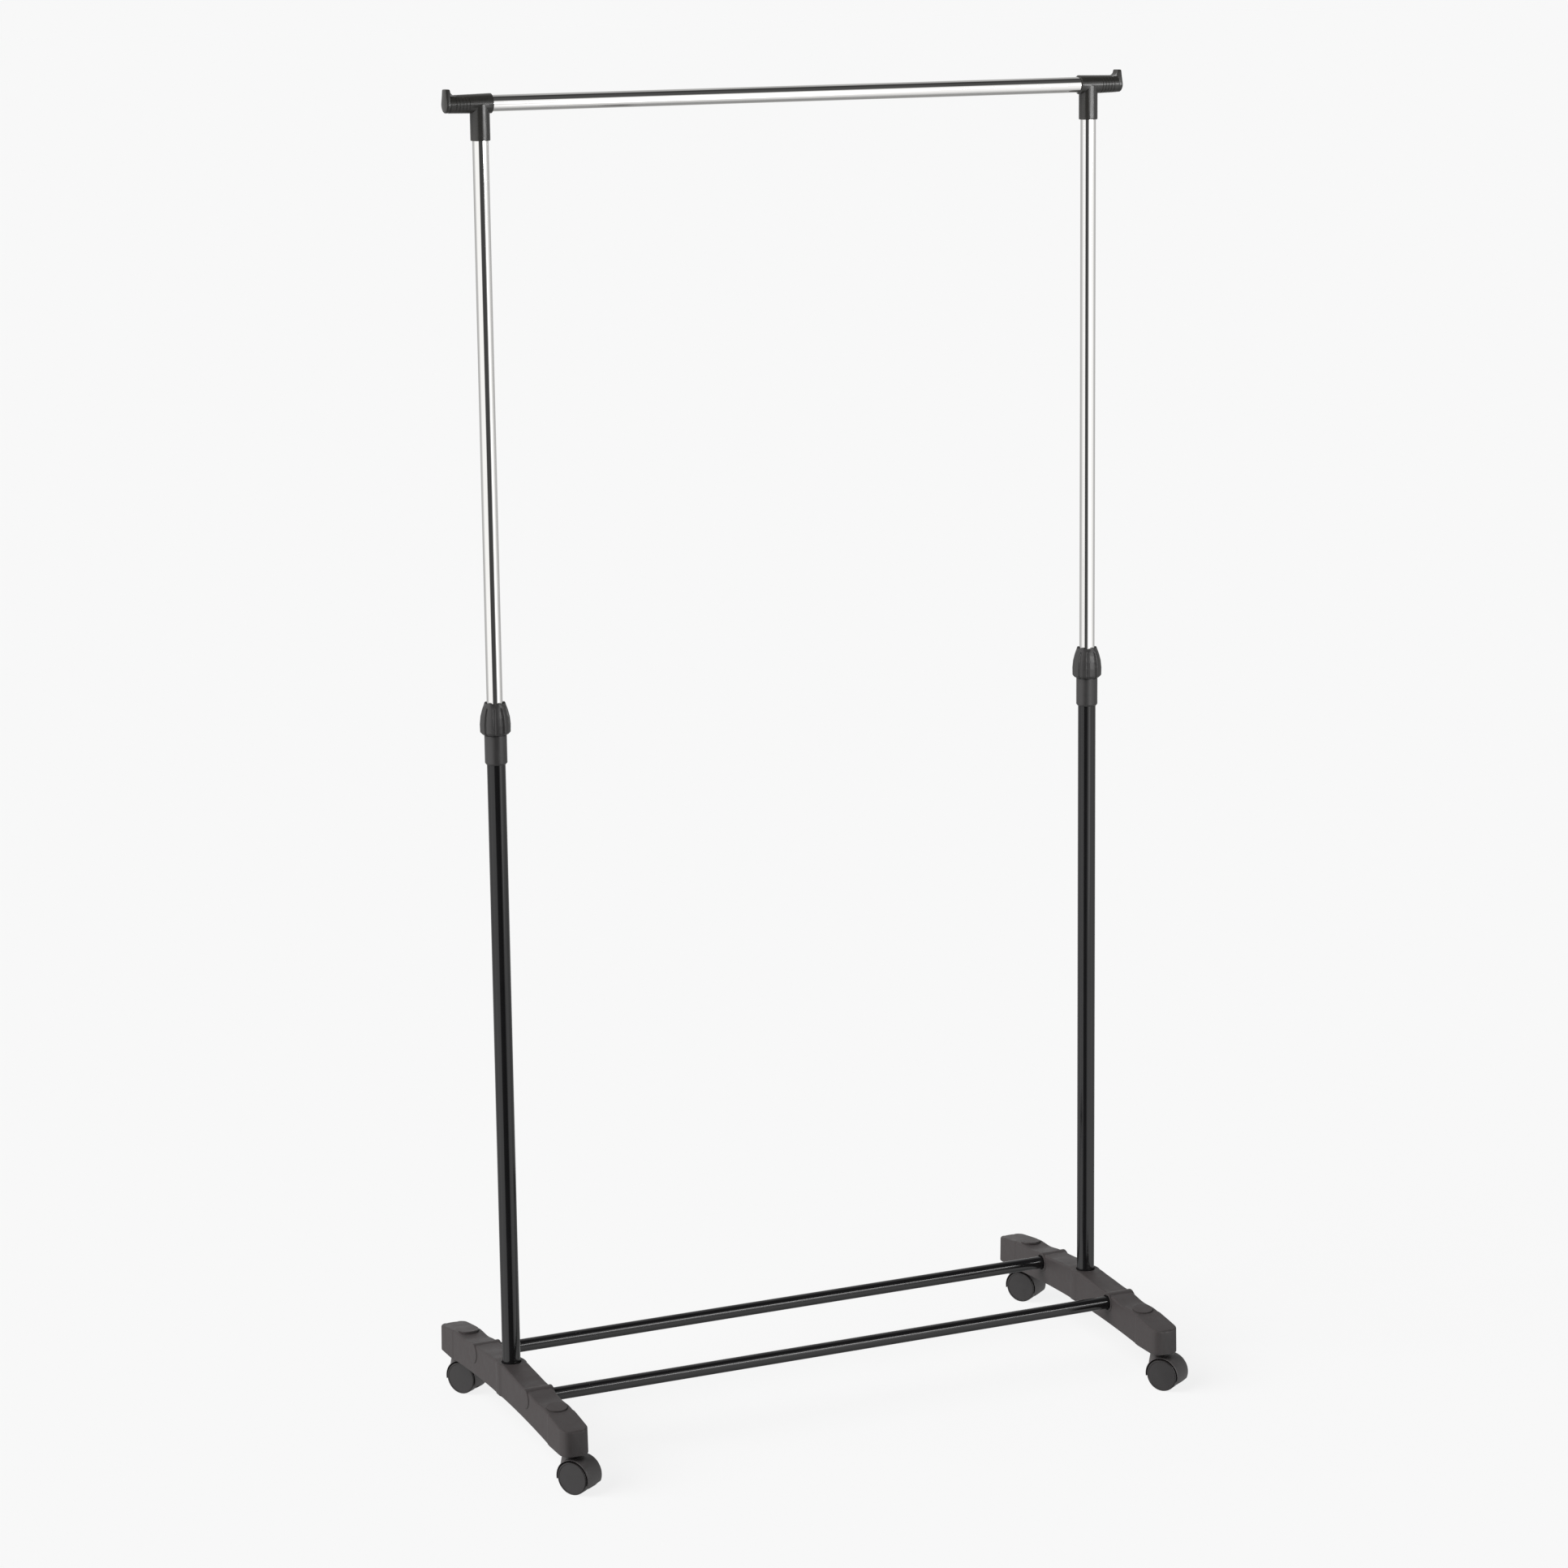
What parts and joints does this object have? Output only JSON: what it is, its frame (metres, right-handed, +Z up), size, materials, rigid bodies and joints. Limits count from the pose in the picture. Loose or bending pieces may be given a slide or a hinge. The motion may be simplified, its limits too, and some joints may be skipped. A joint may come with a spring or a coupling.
{
  "type": "rolling clothes rack",
  "caption": "Rolling clothes rack: chromed hanging rail on telescopic uprights with screw height locks, moulded bridge feet, crossbars and hooded casters.",
  "frame": {"origin": "on the floor under the middle of the rack, midway between the uprights and between the front and rear casters' swivel axes", "axes": "+X along the hanging rail to the right, +Y to the back, +Z up"},
  "size_m": [0.872, 0.4399, 1.616],
  "materials": {
    "chrome_tube": "bright chrome-plated steel tube",
    "black_tube": "gloss black powder-coated steel tube",
    "foot_plastic": "fine-textured moulded polypropylene, warm dark grey",
    "connector_plastic": "semi-gloss moulded plastic, black",
    "lock_plastic": "satin moulded plastic, black",
    "grip_plastic": "acetal, dark grey",
    "caster_plastic": "satin moulded nylon, black",
    "wheel_plastic": "moulded nylon wheel, black",
    "steel_pin": "zinc-plated steel pin"
  },
  "bodies": {
    "base": {"front_crossbar": "black_tube", "rear_crossbar": "black_tube", "left_foot": "foot_plastic", "left_lower_upright": "black_tube", "left_lock_sleeve": "lock_plastic", "left_collet": "grip_plastic", "right_foot": "foot_plastic", "right_lower_upright": "black_tube", "right_lock_sleeve": "lock_plastic", "right_collet": "grip_plastic", "front_left_plug_cap": "foot_plastic", "front_left_stem_socket": "grip_plastic", "front_right_plug_cap": "foot_plastic", "front_right_stem_socket": "grip_plastic", "rear_left_plug_cap": "foot_plastic", "rear_left_stem_socket": "grip_plastic", "rear_right_plug_cap": "foot_plastic", "rear_right_stem_socket": "grip_plastic"},
    "upper_frame": {"hang_rail": "chrome_tube", "left_upper_upright": "chrome_tube", "left_guide_bush": "grip_plastic", "left_rail_connector": "connector_plastic", "right_upper_upright": "chrome_tube", "right_guide_bush": "grip_plastic", "right_rail_connector": "connector_plastic"},
    "left_knob": {"left_lock_knob": "lock_plastic"},
    "right_knob": {"right_lock_knob": "lock_plastic"},
    "front_left_caster": {"front_left_caster_hood": "caster_plastic", "front_left_caster_stem": "steel_pin", "front_left_caster_axle": "steel_pin"},
    "front_left_inner": {"front_left_inner_wheel": "wheel_plastic"},
    "front_left_outer": {"front_left_outer_wheel": "wheel_plastic"},
    "front_right_caster": {"front_right_caster_hood": "caster_plastic", "front_right_caster_stem": "steel_pin", "front_right_caster_axle": "steel_pin"},
    "front_right_inner": {"front_right_inner_wheel": "wheel_plastic"},
    "front_right_outer": {"front_right_outer_wheel": "wheel_plastic"},
    "rear_left_caster": {"rear_left_caster_hood": "caster_plastic", "rear_left_caster_stem": "steel_pin", "rear_left_caster_axle": "steel_pin"},
    "rear_left_inner": {"rear_left_inner_wheel": "wheel_plastic"},
    "rear_left_outer": {"rear_left_outer_wheel": "wheel_plastic"},
    "rear_right_caster": {"rear_right_caster_hood": "caster_plastic", "rear_right_caster_stem": "steel_pin", "rear_right_caster_axle": "steel_pin"},
    "rear_right_inner": {"rear_right_inner_wheel": "wheel_plastic"},
    "rear_right_outer": {"rear_right_outer_wheel": "wheel_plastic"}
  },
  "joints": [
    {"name": "height_slide", "type": "slide", "parent": "base", "child": "upper_frame", "axis": [0, 0, 1], "range_m": [-0.645, 0]},
    {"name": "left_knob_turn", "type": "hinge", "parent": "base", "child": "left_knob", "pos_m": [-0.393, 0, 0.887], "axis": [0, 0, 1], "range_deg": [0, 180]},
    {"name": "right_knob_turn", "type": "hinge", "parent": "base", "child": "right_knob", "pos_m": [0.393, 0, 0.887], "axis": [0, 0, 1], "range_deg": [0, 180]},
    {"name": "front_left_swivel", "type": "hinge", "parent": "base", "child": "front_left_caster", "pos_m": [-0.393, -0.1886, 0.04], "axis": [0, 0, 1], "continuous": true},
    {"name": "front_left_inner_roll", "type": "hinge", "parent": "front_left_caster", "child": "front_left_inner", "pos_m": [-0.38583, -0.19884, 0.02], "axis": [0.8192, 0.5736, 0], "continuous": true},
    {"name": "front_left_outer_roll", "type": "hinge", "parent": "front_left_caster", "child": "front_left_outer", "pos_m": [-0.38583, -0.19884, 0.02], "axis": [0.8192, 0.5736, 0], "continuous": true},
    {"name": "front_right_swivel", "type": "hinge", "parent": "base", "child": "front_right_caster", "pos_m": [0.393, -0.1886, 0.04], "axis": [0, 0, 1], "continuous": true},
    {"name": "front_right_inner_roll", "type": "hinge", "parent": "front_right_caster", "child": "front_right_inner", "pos_m": [0.40017, -0.19884, 0.02], "axis": [0.8192, 0.5736, 0], "continuous": true},
    {"name": "front_right_outer_roll", "type": "hinge", "parent": "front_right_caster", "child": "front_right_outer", "pos_m": [0.40017, -0.19884, 0.02], "axis": [0.8192, 0.5736, 0], "continuous": true},
    {"name": "rear_left_swivel", "type": "hinge", "parent": "base", "child": "rear_left_caster", "pos_m": [-0.393, 0.1886, 0.04], "axis": [0, 0, 1], "continuous": true},
    {"name": "rear_left_inner_roll", "type": "hinge", "parent": "rear_left_caster", "child": "rear_left_inner", "pos_m": [-0.38583, 0.17836, 0.02], "axis": [0.8192, 0.5736, 0], "continuous": true},
    {"name": "rear_left_outer_roll", "type": "hinge", "parent": "rear_left_caster", "child": "rear_left_outer", "pos_m": [-0.38583, 0.17836, 0.02], "axis": [0.8192, 0.5736, 0], "continuous": true},
    {"name": "rear_right_swivel", "type": "hinge", "parent": "base", "child": "rear_right_caster", "pos_m": [0.393, 0.1886, 0.04], "axis": [0, 0, 1], "continuous": true},
    {"name": "rear_right_inner_roll", "type": "hinge", "parent": "rear_right_caster", "child": "rear_right_inner", "pos_m": [0.40017, 0.17836, 0.02], "axis": [0.8192, 0.5736, 0], "continuous": true},
    {"name": "rear_right_outer_roll", "type": "hinge", "parent": "rear_right_caster", "child": "rear_right_outer", "pos_m": [0.40017, 0.17836, 0.02], "axis": [0.8192, 0.5736, 0], "continuous": true}
  ]
}
